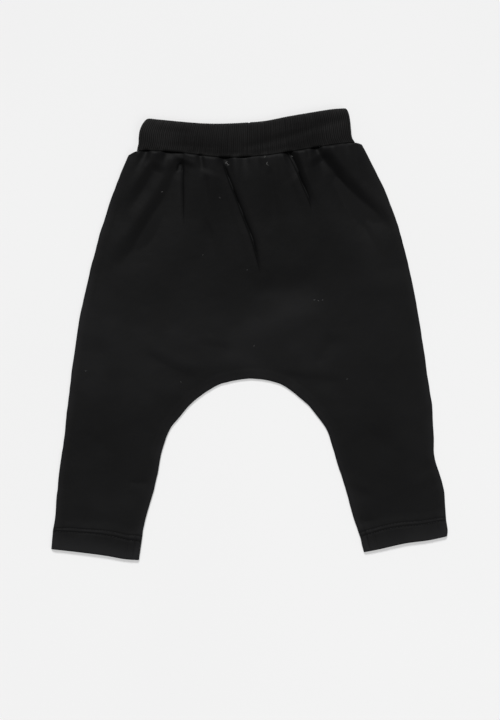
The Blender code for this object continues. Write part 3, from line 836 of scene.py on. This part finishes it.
def waistband():
    seam_run, top_run = curve(WAIST_SEAM), curve(BAND_TOP)
    u = np.linspace(0, 1, 240)
    bottom = np.c_[seam_run(u)[:, 0], np.interp(seam_run(u)[:, 0], RUNS["waist"][:, 0], RUNS["waist"][:, 1])]
    top = top_run(u)
    ends = {side: curve([top_run(t)[0]] + BAND_ENDS[side] + [seam_run(t)[0]])
            for side, t in (("left", 0.0), ("right", 1.0))}
    profile = curve([(h * 33.0, r) for h, r in BAND_PROFILE])
    k = np.r_[np.linspace(0, 0.46, 20)[:-1], np.linspace(0.46, 0.60, 10)[:-1], np.linspace(0.60, 1.0, 9)]
    pr = profile(k)
    height, reach = np.clip(pr[:, 0] / 33.0, 0, 1), np.maximum(pr[:, 1], 0.02)

    def plane(share, h):
        """Point of the band's middle surface; share runs left to right."""
        a = np.stack([np.interp(share, u, bottom[:, i]) for i in (0, 1)], -1)
        b = np.stack([np.interp(share, u, top[:, i]) for i in (0, 1)], -1)
        p = a + (b - a) * h[..., None]
        for side, w in (("left", 1 - share), ("right", share)):
            bow = ends[side](1 - h.ravel()).reshape(h.shape + (2,))
            t = 0.0 if side == "left" else 1.0
            straight = seam_run(t)[0] + (top_run(t)[0] - seam_run(t)[0]) * h[..., None]
            p = p + (bow - straight) * (np.clip(w, 0, 1) ** 3)[..., None]
        return p

    width = float(np.linalg.norm(seam_run(1.0)[0] - seam_run(0.0)[0]))
    inset = (3.62 + BAND_PARTING / 2) / width
    ribs = int(round(width * (1 - 2 * inset) / RIB_PITCH))
    flat = ribs * BAND_SAMPLES
    turn = int(round(np.pi * 3.0 / RIB_PITCH)) * BAND_SAMPLES
    back = [(inset + (1 - 2 * inset) * i / flat, 0.0) for i in range(flat)]
    right = [(1 - inset, np.pi * i / turn) for i in range(turn)]
    front = [(1 - inset - (1 - 2 * inset) * i / flat, np.pi) for i in range(flat)]
    left = [(inset, np.pi + np.pi * i / turn) for i in range(turn)]
    share, angle = np.array(back + right + front + left).T
    phase = np.arange(len(share)) / BAND_SAMPLES
    S, H = np.meshgrid(share, height, indexing="ij")
    A, R = np.meshgrid(angle, reach, indexing="ij")
    centre = plane(S, H)
    s_mm = (phase * RIB_PITCH)[:, None]
    h_mm = H * 33.0
    loops = float(phase[-1] + 1.0 / BAND_SAMPLES)
    ring = 2 * np.pi * phase[:, None] / loops
    # puckers of the rib over its elastic, and a soft lengthwise unevenness
    cx, cy = 9.0 * np.cos(ring), 9.0 * np.sin(ring)
    pucker = 0.28 * noise(cx * 1.9 + 40, cy * 1.9 + h_mm / 46.0, 91) + 0.20 * noise(cx * 4.1 + 7, cy * 4.1 + h_mm / 30.0, 92)
    wide = 0.30 * noise(cx * 0.55 + 90, cy * 0.55 + h_mm / 19.0, 93)
    seen = smooth(R, 0.4, 2.2)
    R = R + seen * (pucker + wide) * smooth(H, 0.0, 0.12)
    # where a puff of the cloth presses against the band, no groove is left
    at_seam = np.c_[np.interp(share, u, bottom[:, 0]), np.interp(share, u, bottom[:, 1]) - 2.0]
    pressed = smooth(gather_relief(at_seam), -1.6, 0.5) * (np.cos(angle) > 0)
    outside = (np.arange(len(height)) < 20)[None, :] * (1 - smooth(H, 0.02, 0.10))
    R = R + np.maximum(2.75 - R, 0) * pressed[:, None] * outside
    # folds across the ribs, where the elastic bends the band
    for level, thick, deep, lo, hi, tilt in BAND_FOLDS:
        fold_at = level + tilt * centre[..., 0] / 100.0
        span = smooth(centre[..., 0], lo, lo + 16) * (1 - smooth(centre[..., 0], hi - 16, hi))
        R = R - deep * span * seen * np.exp(-((H - fold_at) / thick) ** 2)
    radius = BAND_PARTING / 2 + R
    middle = 3.62 + BAND_PARTING / 2 + 0.05
    x = centre[..., 0] + radius * np.sin(A)
    y = centre[..., 1]
    z = middle + radius * np.cos(A)
    grid = np.stack([x, y, z], -1)
    # ribs stand out along the surface's own normal
    ds = np.roll(grid, -1, 0) - np.roll(grid, 1, 0)
    dk = np.roll(grid, -1, 1) - np.roll(grid, 1, 1)
    normal = np.cross(ds, dk)
    normal /= np.maximum(np.linalg.norm(normal, axis=-1, keepdims=True), 1e-9)
    uneven = 0.16 * noise(s_mm / 5.0, h_mm / 60.0, 95)
    rib = np.abs(np.cos(np.pi * (phase[:, None] + uneven))) ** 0.8
    strength = RIB_RISE * (0.35 + 0.65 * smooth(H, 0.0, 0.1)) * (1 + 0.25 * noise(s_mm / 9.0, h_mm / 8.0, 96))
    back_side = (np.cos(A) > 0.5) & (R > 1.0)
    join = np.exp(-((x - BAND_JOIN_X - 0.04 * (y - 195)) / 0.9) ** 2) * back_side
    welt = np.exp(-((x - BAND_JOIN_X - 2.4) / 1.5) ** 2) * back_side
    push = strength * (rib - 0.55) * (1 - 0.8 * join) - 0.55 * join + 0.18 * welt
    grid = grid + normal * (push * (0.35 + 0.65 * seen))[..., None]
    grid[..., 2] = np.maximum(grid[..., 2], 0.02)
    rows, cols = grid.shape[:2]
    ids = np.arange(rows * cols).reshape(rows, cols)
    a, b = ids, np.roll(ids, -1, 0)
    faces = np.stack([a, b, np.roll(b, -1, 1), np.roll(a, -1, 1)], -1).reshape(-1, 4)
    # painted light on the band: painted shade between the ribs, a painted highlight along the top fold and the
    # upper half painted lighter as where light falls from above; with a random tone and a little darker towards the
    # right
    tone = 0.30 + 0.42 * (rib - 0.5) + 0.12 * noise(s_mm / 20.0, h_mm / 12.0, 97) + 0.30 * smooth(H, 0.9, 1.0)
    tone = tone + 0.10 * smooth(H, 0.35, 0.8) - 0.04 * smooth(x, 10.0, 60.0)
    # the ribs show best where the band's ends are stretched, so the painted shade between the ribs is stronger
    # there and the ends a touch lighter
    ends_show = smooth(np.abs(x), 62.0, 84.0)
    tone = tone + (0.60 * (rib - 0.5) + 0.04) * ends_show
    return to_object("rib_band", grid.reshape(-1, 3), faces, np.clip(tone, 0, 1).ravel())


rib_band = waistband()


# ---- threads ----------------------------------------------------------------------------------
def tube(path, radius, sides=6):
    """A closed thin tube with tapered ends through a few points."""
    p = np.asarray(path, float)
    t = np.gradient(p, axis=0)
    t /= np.linalg.norm(t, axis=1)[:, None]
    side = np.cross(t, (0.0, 0.0, 1.0))
    side /= np.maximum(np.linalg.norm(side, axis=1), 1e-9)[:, None]
    up = np.cross(side, t)
    angle = np.arange(sides) * 2 * np.pi / sides
    r = np.asarray(radius, float).reshape(-1, 1, 1)
    rings = p[:, None] + r * (np.cos(angle)[None, :, None] * side[:, None]
                              + np.sin(angle)[None, :, None] * up[:, None])
    points = np.r_[rings.reshape(-1, 3), p[:1] - t[:1] * 0.12, p[-1:] + t[-1:] * 0.12]
    faces = []
    for i in range(len(p) - 1):
        for j in range(sides):
            k = (j + 1) % sides
            faces.append((i * sides + j, i * sides + k, (i + 1) * sides + k, (i + 1) * sides + j))
    first, last = len(points) - 2, len(points) - 1
    base = (len(p) - 1) * sides
    for j in range(sides):
        k = (j + 1) % sides
        faces.append((first, k, j))
        faces.append((last, base + j, base + k))
    return points, faces


def join_tubes(name, tubes):
    points, faces, start = [], [], 0
    for p, f in tubes:
        points.append(p)
        faces += [tuple(i + start for i in face) for face in f]
        start += len(p)
    return to_object(name, np.vstack(points), faces)


def hem_stitches(name, surface, seed, up):
    """Two needle rows round a leg's hem, on the face that surface gives."""
    tubes = []
    pitch, length = 2.9, 2.35
    for side in ("left", "right"):
        edge = spaced(hem_edge(side), 0.5)
        n = inward(edge)[1:-1]
        n = n if side == "right" else -n
        edge = edge[1:-1]
        s = np.r_[0, np.cumsum(np.linalg.norm(np.diff(edge, axis=0), axis=1))]
        for k in range(2):
            off = stitch_row(side, s, k) + 0.25 * noise(s / 14.0, k + 0.5, seed)
            line = edge + n * off[:, None]
            start = 2.4 + 0.9 * k
            count = int((s[-1] - start - 3.0) / pitch)
            for i in range(count):
                a = start + i * pitch + 0.12 * float(noise(i * 1.7, k, seed + 9))
                t = np.linspace(a, a + length, 5)
                xy = np.c_[np.interp(t, s, line[:, 0]), np.interp(t, s, line[:, 1])]
                if not inside(xy, LOOP).all() or OUTLINE_PATH.near(xy)[0].min() < 2.2:
                    continue
                z = surface(xy)
                arch = np.array([-0.16, 0.08, 0.14, 0.08, -0.16])
                z = z + (arch if up else -arch * 0.6)
                tubes.append(tube(np.c_[xy, z], [0.16, 0.24, 0.26, 0.24, 0.16]))
    return join_tubes(name, tubes)


back_stitches = hem_stitches("hem_stitches_back", back_top, 41, True)
front_stitches = hem_stitches("hem_stitches_front", front_under, 71, False)

# Pale ends of short tack stitches under the band, on the centre back.
TACKS = [
    # x, y, length, turn in degrees
    (-23.2, 171.2, 3.2, 48),
    (-22.3, 170.3, 3.0, -42),
    (-21.2, 168.9, 1.8, 10),
    (15.4, 176.6, 2.2, 82),
    (17.3, 170.2, 2.8, 70),
    (18.2, 168.4, 1.6, -30),
    (41.6, 178.0, 2.6, -20),
    (42.6, 177.0, 1.6, 60),
]


def threads(name, rows, radius, lift, seed):
    tubes = []
    for i, (x, y, length, turn) in enumerate(rows):
        a = np.radians(turn)
        t = np.linspace(-0.5, 0.5, 6)
        bend = 0.12 * length * np.sin(np.pi * (t + 0.5)) * float(noise(i * 2.3, 0.5, seed))
        xy = np.c_[x + length * t * np.cos(a) - bend * np.sin(a), y + length * t * np.sin(a) + bend * np.cos(a)]
        z = back_top(xy) + lift
        r = radius * np.array([0.55, 0.9, 1.0, 1.0, 0.9, 0.55])
        tubes.append(tube(np.c_[xy, z], r, 6))
    return join_tubes(name, tubes)


tack_ends = threads("tack_stitches", TACKS, 0.30, 0.18, 7)

# Specks of pale lint caught on the nap.
LINT = [
    # x, y, length, turn in degrees
    (-87.5, 142.0, 1.6, 30),
    (-29.5, 136.0, 1.3, -20),
    (-46.5, 79.0, 1.1, 60),
    (-2.5, 64.0, 1.0, 10),
    (64.8, 34.2, 2.0, 15),
    (69.0, 33.2, 1.5, -35),
    (73.0, 34.0, 1.3, 50),
    (4.5, -12.0, 1.4, 70),
    (-163.5, -37.0, 1.6, 20),
    (-68.5, -48.0, 1.2, -60),
    (97.5, -45.0, 1.3, 35),
]
lint = threads("lint", LINT, 0.16, 0.12, 17)


# ---- materials --------------------------------------------------------------------------------
class Nodes:
    """Small helper that adds and links shader nodes."""

    def __init__(self, name):
        self.material = bpy.data.materials.new(name)
        self.material.use_nodes = True
        self.tree = self.material.node_tree
        self.shader = self.tree.nodes["Principled BSDF"]

    def add(self, kind, **values):
        node = self.tree.nodes.new(kind)
        for key, value in values.items():
            if hasattr(node, key):
                setattr(node, key, value)
            else:
                node.inputs[key].default_value = value
        return node

    def link(self, a, b):
        self.tree.links.new(a, b)

    def math(self, operation, a, b=None, c=None):
        node = self.tree.nodes.new("ShaderNodeMath")
        node.operation = operation
        for i, value in enumerate((a, b, c)):
            if value is None:
                continue
            if isinstance(value, (int, float)):
                node.inputs[i].default_value = value
            else:
                self.link(value, node.inputs[i])
        return node.outputs[0]

    def noise(self, scale, detail=2.0, rough=0.5, vector=None):
        node = self.add("ShaderNodeTexNoise")
        node.inputs["Scale"].default_value = scale
        node.inputs["Detail"].default_value = detail
        node.inputs["Roughness"].default_value = rough
        if vector is not None:
            self.link(vector, node.inputs["Vector"])
        return node.outputs["Fac"]

    def coords(self):
        """Object coordinates in millimetres, whole and by axis."""
        texture = self.add("ShaderNodeTexCoord")
        scaled = self.add("ShaderNodeVectorMath", operation="SCALE")
        self.link(texture.outputs["Object"], scaled.inputs[0])
        scaled.inputs["Scale"].default_value = 1000.0
        split = self.add("ShaderNodeSeparateXYZ")
        self.link(scaled.outputs[0], split.inputs[0])
        return scaled.outputs[0], split.outputs

    def bump(self, height, strength, distance, normal=None):
        node = self.add("ShaderNodeBump")
        node.inputs["Strength"].default_value = strength
        node.inputs["Distance"].default_value = distance
        self.link(height, node.inputs["Height"])
        if normal is not None:
            self.link(normal, node.inputs["Normal"])
        return node.outputs["Normal"]

    def colour(self, factor, stops):
        ramp = self.add("ShaderNodeValToRGB")
        elements = ramp.color_ramp.elements
        while len(elements) < len(stops):
            elements.new(0.5)
        for element, (place, value) in zip(elements, stops):
            element.position = place
            element.color = (*value, 1.0)
        self.link(factor, ramp.inputs["Fac"])
        return ramp.outputs["Color"]

    def attribute(self, name):
        node = self.add("ShaderNodeAttribute", attribute_name=name)
        return node.outputs["Fac"]

    def set(self, **values):
        for key, value in values.items():
            self.shader.inputs[key.replace("_", " ")].default_value = value


def knit_material():
    """Matt near-black sweatshirt knit: fine wales, a short nap, uneven dye."""
    m = Nodes("black_sweatshirt_knit")
    vector, axis = m.coords()
    # wales run down the panel; each loop is a small V in its wale
    wander = m.math("MULTIPLY", m.noise(0.05, 1.0, 0.5, vector), 5.0)
    across = m.math("ADD", axis["X"], wander)
    wale = m.math("MULTIPLY", across, np.pi / 0.85)
    ridge = m.math("ABSOLUTE", m.math("SINE", wale))
    course = m.math("SINE", m.math("MULTIPLY", m.math("ADD", axis["Y"], m.math("MULTIPLY", ridge, 0.35)),
                                   2 * np.pi / 0.65))
    loops = m.math("ADD", m.math("MULTIPLY", ridge, 0.7), m.math("MULTIPLY", course, 0.18))
    nap = m.noise(2.6, 3.0, 0.65, vector)
    clump = m.noise(0.55, 2.0, 0.6, vector)
    height = m.math("ADD", m.math("MULTIPLY", loops, 0.45),
                    m.math("ADD", m.math("MULTIPLY", nap, 0.9), m.math("MULTIPLY", clump, 0.8)))
    m.link(m.bump(height, 0.32, 0.00020), m.shader.inputs["Normal"])
    patch = m.noise(0.016, 2.0, 0.5, vector)
    # the tone attribute brings painted highlights and painted shade into the base colour, with the cloth's random
    # tone
    tone = m.attribute("tone")
    fac = m.math("ADD", m.math("MULTIPLY", patch, 0.10), m.math("MULTIPLY", tone, 0.45))
    fac = m.math("ADD", m.math("ADD", fac, 0.125), m.math("MULTIPLY", nap, 0.22))
    m.link(m.colour(fac, [(0.25, (0.0022, 0.0022, 0.0023)), (0.52, (0.0050, 0.0050, 0.0052)),
                          (0.80, (0.0125, 0.0125, 0.0131))]), m.shader.inputs["Base Color"])
    m.link(m.math("ADD", 0.54, m.math("MULTIPLY", nap, 0.08)), m.shader.inputs["Roughness"])
    m.set(Specular_IOR_Level=0.10, Sheen_Weight=0.01, Sheen_Roughness=0.55,
          Sheen_Tint=(0.95, 0.97, 1.0, 1.0))
    return m.material


def rib_material():
    """Near-black rib knit, a touch warmer, with painted shade between its ribs."""
    m = Nodes("black_rib_knit")
    vector, axis = m.coords()
    course = m.math("SINE", m.math("MULTIPLY", axis["Y"], 2 * np.pi / 0.9))
    nap = m.noise(3.0, 3.0, 0.65, vector)
    height = m.math("ADD", m.math("MULTIPLY", course, 0.25), m.math("MULTIPLY", nap, 0.9))
    m.link(m.bump(height, 0.5, 0.0002), m.shader.inputs["Normal"])
    # the tone attribute brings painted shade between the ribs and a painted highlight along the band's top fold
    # into the colour
    tone = m.attribute("tone")
    patch = m.noise(0.03, 2.0, 0.5, vector)
    fac = m.math("ADD", m.math("MULTIPLY", tone, 0.65), m.math("MULTIPLY", patch, 0.3))
    fac = m.math("ADD", fac, m.math("MULTIPLY", nap, 0.12))
    m.link(m.colour(fac, [(0.22, (0.0022, 0.00215, 0.00215)), (0.52, (0.0052, 0.0050, 0.0050)),
                          (0.85, (0.0125, 0.0121, 0.0120))]), m.shader.inputs["Base Color"])
    m.link(m.math("ADD", 0.54, m.math("MULTIPLY", nap, 0.08)), m.shader.inputs["Roughness"])
    m.set(Specular_IOR_Level=0.10, Sheen_Weight=0.01, Sheen_Roughness=0.5,
          Sheen_Tint=(1.0, 0.97, 0.95, 1.0))
    return m.material


def thread_material(name, dark, light, rough):
    m = Nodes(name)
    vector, axis = m.coords()
    twist = m.math("SINE", m.math("MULTIPLY", m.math("ADD", axis["X"], axis["Y"]), 2 * np.pi / 0.45))
    fac = m.math("ADD", m.math("MULTIPLY", twist, 0.25), m.noise(1.3, 2.0, 0.5, vector))
    m.link(m.colour(fac, [(0.2, dark), (0.8, light)]), m.shader.inputs["Base Color"])
    m.link(m.bump(twist, 0.4, 0.00008), m.shader.inputs["Normal"])
    m.set(Roughness=rough, Specular_IOR_Level=0.3)
    return m.material


def floor_material():
    m = Nodes("white_sweep")
    vector, _ = m.coords()
    m.link(m.colour(m.noise(0.004, 1.0, 0.5, vector), [(0.3, (0.445, 0.445, 0.445)), (0.7, (0.455, 0.455, 0.455))]),
           m.shader.inputs["Base Color"])
    m.set(Roughness=0.9, Specular_IOR_Level=0.05, Emission_Color=(1.0, 1.0, 1.0, 1.0),
          Emission_Strength=0.46)
    return m.material


knit, rib_look = knit_material(), rib_material()
black_thread = thread_material("black_thread", (0.004, 0.004, 0.0045), (0.010, 0.010, 0.011), 0.55)
pale_thread = thread_material("pale_thread", (0.06, 0.06, 0.058), (0.13, 0.13, 0.127), 0.6)
lint_look = thread_material("lint_fibre", (0.08, 0.08, 0.08), (0.17, 0.17, 0.17), 0.8)
for piece, look in ((back_cloth, knit), (front_cloth, knit), (rib_band, rib_look),
                    (back_stitches, black_thread), (front_stitches, black_thread),
                    (tack_ends, pale_thread), (lint, lint_look)):
    piece.data.materials.append(look)

# ---- what rides on the frame ---------------------------------------------------------------------
for piece in (back_cloth, front_cloth, rib_band, back_stitches, front_stitches, tack_ends, lint):
    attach(piece, "root")
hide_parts("back_panel")
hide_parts("front_panel")
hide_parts("waistband")

# ---- floor, light and camera -----------------------------------------------------------------------
floor_mesh = bpy.data.meshes.new("floor")
floor_mesh.from_pydata([(-15, -15, 0), (15, -15, 0), (15, 15, 0), (-15, 15, 0)], [], [(0, 1, 2, 3)])
floor = bpy.data.objects.new("floor", floor_mesh)
bpy.context.scene.collection.objects.link(floor)
floor.location.z = -0.0002
floor_mesh.materials.append(floor_material())


def area_light(name, place, aim, size, watts, colour=(1, 1, 1)):
    data = bpy.data.lights.new(name, "AREA")
    data.shape, data.size, data.energy, data.color = "DISK", size, watts, colour
    lamp = bpy.data.objects.new(name, data)
    lamp.location = place
    lamp.rotation_euler = (Vector(aim) - Vector(place)).to_track_quat("-Z", "Y").to_euler()
    bpy.context.scene.collection.objects.link(lamp)
    return lamp


sun_data = bpy.data.lights.new("key", "SUN")
sun_data.energy, sun_data.angle = 3.0, np.radians(18)
sun = bpy.data.objects.new("key", sun_data)
sun.rotation_euler = (-Vector((-0.16, 0.90, 1.0))).to_track_quat("-Z", "Y").to_euler()
bpy.context.scene.collection.objects.link(sun)
area_light("fill", (1.9, -1.6, 2.4), (0, 0, 0), 1.8, 16)
world = bpy.data.worlds.new("studio")
world.use_nodes = True
background = world.node_tree.nodes["Background"]
background.inputs["Color"].default_value = (1.0, 1.0, 1.0, 1.0)
background.inputs["Strength"].default_value = 0.16
bpy.context.scene.world = world
bpy.context.scene.view_settings.view_transform = "Standard"
bpy.context.scene.view_settings.look = "None"

camera_data = bpy.data.cameras.new("camera")
camera_data.lens, camera_data.sensor_width = 90.0, 36.0
camera_data.clip_start, camera_data.clip_end = 0.05, 20.0
camera = bpy.data.objects.new("camera", camera_data)
camera.location = (0.0005, -0.026, 1.803)
bpy.context.scene.collection.objects.link(camera)
bpy.context.scene.camera = camera
